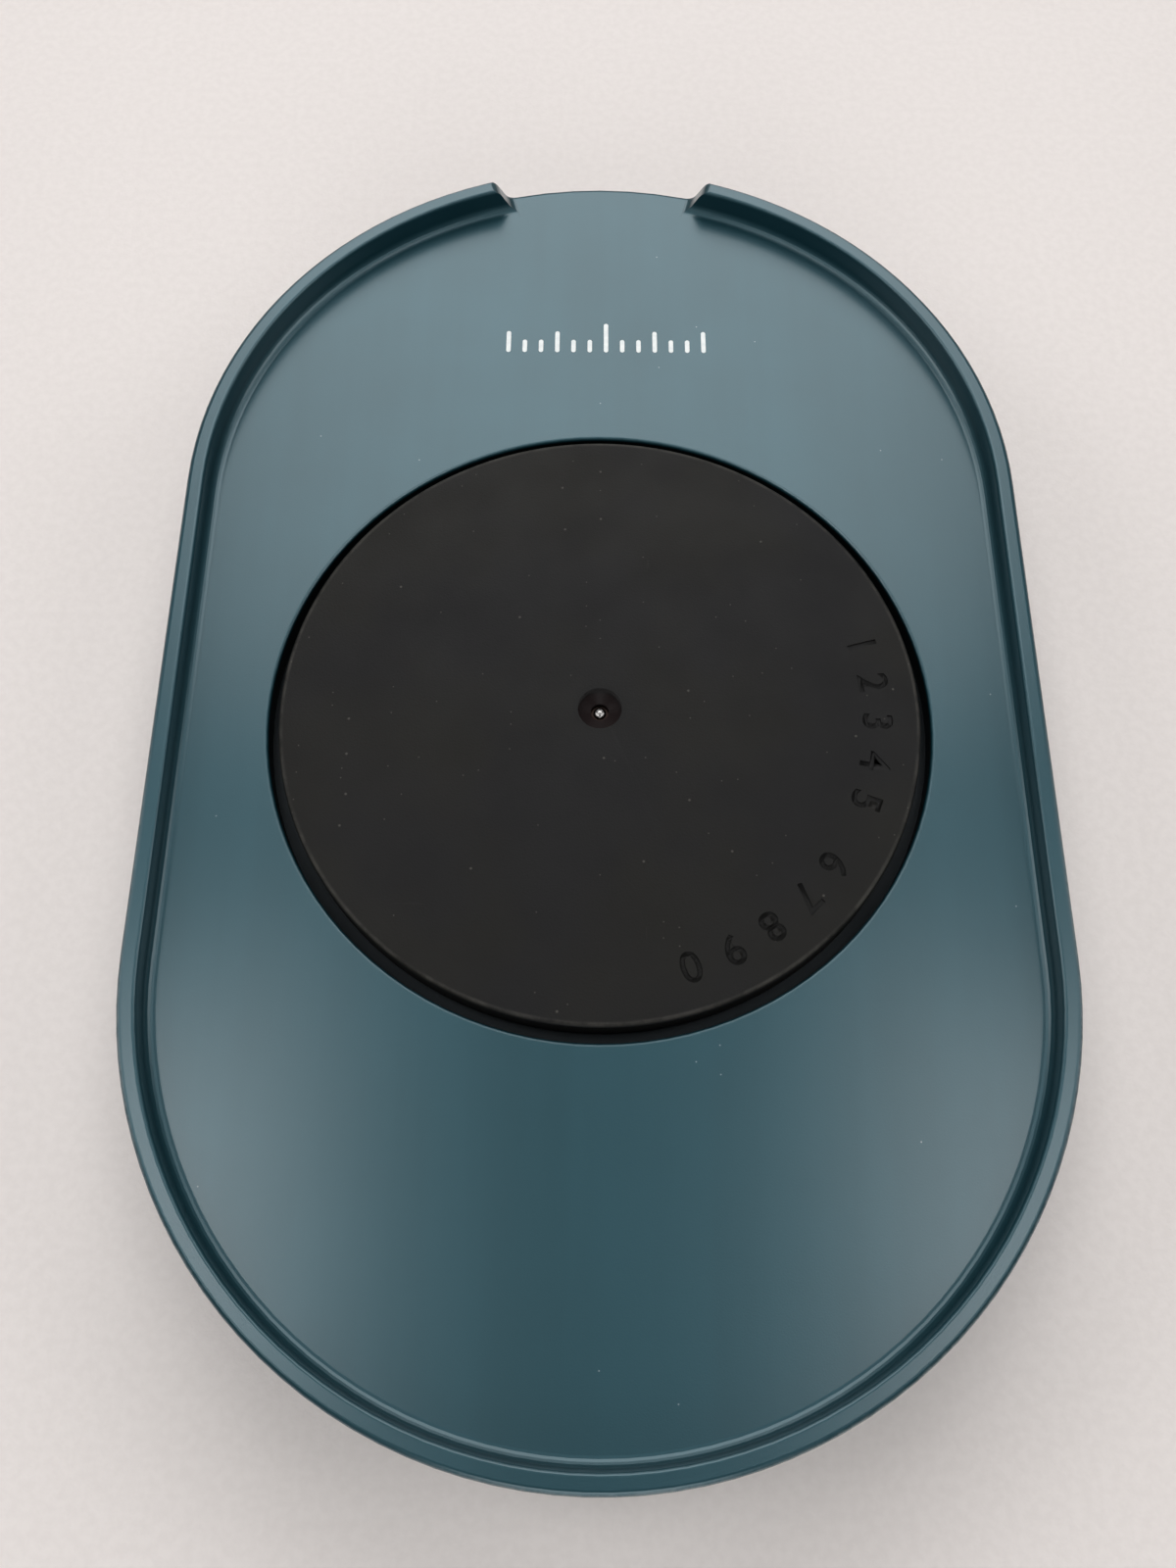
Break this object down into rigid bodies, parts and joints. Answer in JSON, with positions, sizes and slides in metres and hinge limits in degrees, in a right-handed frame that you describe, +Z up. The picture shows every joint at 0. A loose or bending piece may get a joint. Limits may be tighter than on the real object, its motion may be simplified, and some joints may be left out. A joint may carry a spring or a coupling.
{
  "type": "mouse jiggler",
  "caption": "Desk tray for a computer mouse with a motor-driven turntable under the mouse's sensor; open rear rim for the mouse's cable, slide switch and power inlet.",
  "frame": {"origin": "on the desk, under the middle of the tray, on the turntable's axis", "axes": "+Z up along the turntable's axis, +Y to the rear where the rim is open for the mouse's cable, +X to the right side with the slide switch"},
  "size_m": [0.0963, 0.1518, 0.0231],
  "materials": {
    "cover_plastic": "fine matt moulded texture",
    "disc_plastic": "matt, slightly soft to the touch",
    "frame_plastic": "plain moulded",
    "gear_plastic": "moulded acetal",
    "steel": "bright turned",
    "plated_steel": "bright plated",
    "bush_metal": "sintered and sized",
    "board_laminate": "green solder mask",
    "black_plastic": "plain moulded",
    "white_plastic": "plain moulded",
    "capacitor_can": "bright drawn",
    "red_sleeve": "extruded sleeve",
    "black_sleeve": "extruded sleeve",
    "foot_rubber": "fine matt"
  },
  "bodies": {
    "housing": {"top_cover": "cover_plastic", "bottom_cover": "cover_plastic", "upper_bush": "bush_metal", "lower_bush": "bush_metal", "thrust_washer": "gear_plastic", "second_gear_pin": "steel", "first_gear_pin": "steel", "gear_frame": "frame_plastic", "motor_can": "plated_steel", "motor_terminal": "white_plastic", "circuit_board": "board_laminate", "socket_shell": "plated_steel", "socket_tongue": "black_plastic", "switch_body": "plated_steel", "control_chip": "black_plastic", "capacitor": "capacitor_can", "lead_connector": "white_plastic", "red_lead": "red_sleeve", "black_lead": "black_sleeve", "case_screws": "steel", "frame_screws": "steel", "motor_screws": "steel", "board_screws": "steel", "rubber_feet": "foot_rubber"},
    "turntable_body": {"turntable": "disc_plastic", "spindle": "steel", "output_gear": "gear_plastic", "retaining_clip": "steel"},
    "second_gear_body": {"second_gear": "gear_plastic"},
    "first_gear_body": {"first_gear": "gear_plastic"},
    "motor_rotor": {"motor_shaft": "steel", "motor_pinion": "bush_metal"},
    "slider_body": {"switch_slider": "black_plastic"}
  },
  "joints": [
    {"name": "turntable_spin", "type": "hinge", "parent": "housing", "child": "turntable_body", "pos_m": [0, 0, 0.021], "axis": [0, 0, 1], "continuous": true},
    {"name": "second_gear_spin", "type": "hinge", "parent": "housing", "child": "second_gear_body", "pos_m": [-0.009, -0.01559, 0.01], "axis": [0, 0, 1], "continuous": true},
    {"name": "first_gear_spin", "type": "hinge", "parent": "housing", "child": "first_gear_body", "pos_m": [-0.0015, -0.02858, 0.013], "axis": [0, 0, 1], "continuous": true},
    {"name": "motor_spin", "type": "hinge", "parent": "housing", "child": "motor_rotor", "pos_m": [0.01299, -0.03246, 0.013], "axis": [0, 0, 1], "continuous": true},
    {"name": "switch_slide", "type": "slide", "parent": "housing", "child": "slider_body", "axis": [0, 1, 0], "range_m": [0, 0.002]}
  ],
  "couplings": [
    {"joint": "second_gear_spin", "follows": "turntable_spin", "ratio": -4},
    {"joint": "first_gear_spin", "follows": "turntable_spin", "ratio": 16},
    {"joint": "motor_spin", "follows": "turntable_spin", "ratio": -64}
  ]
}
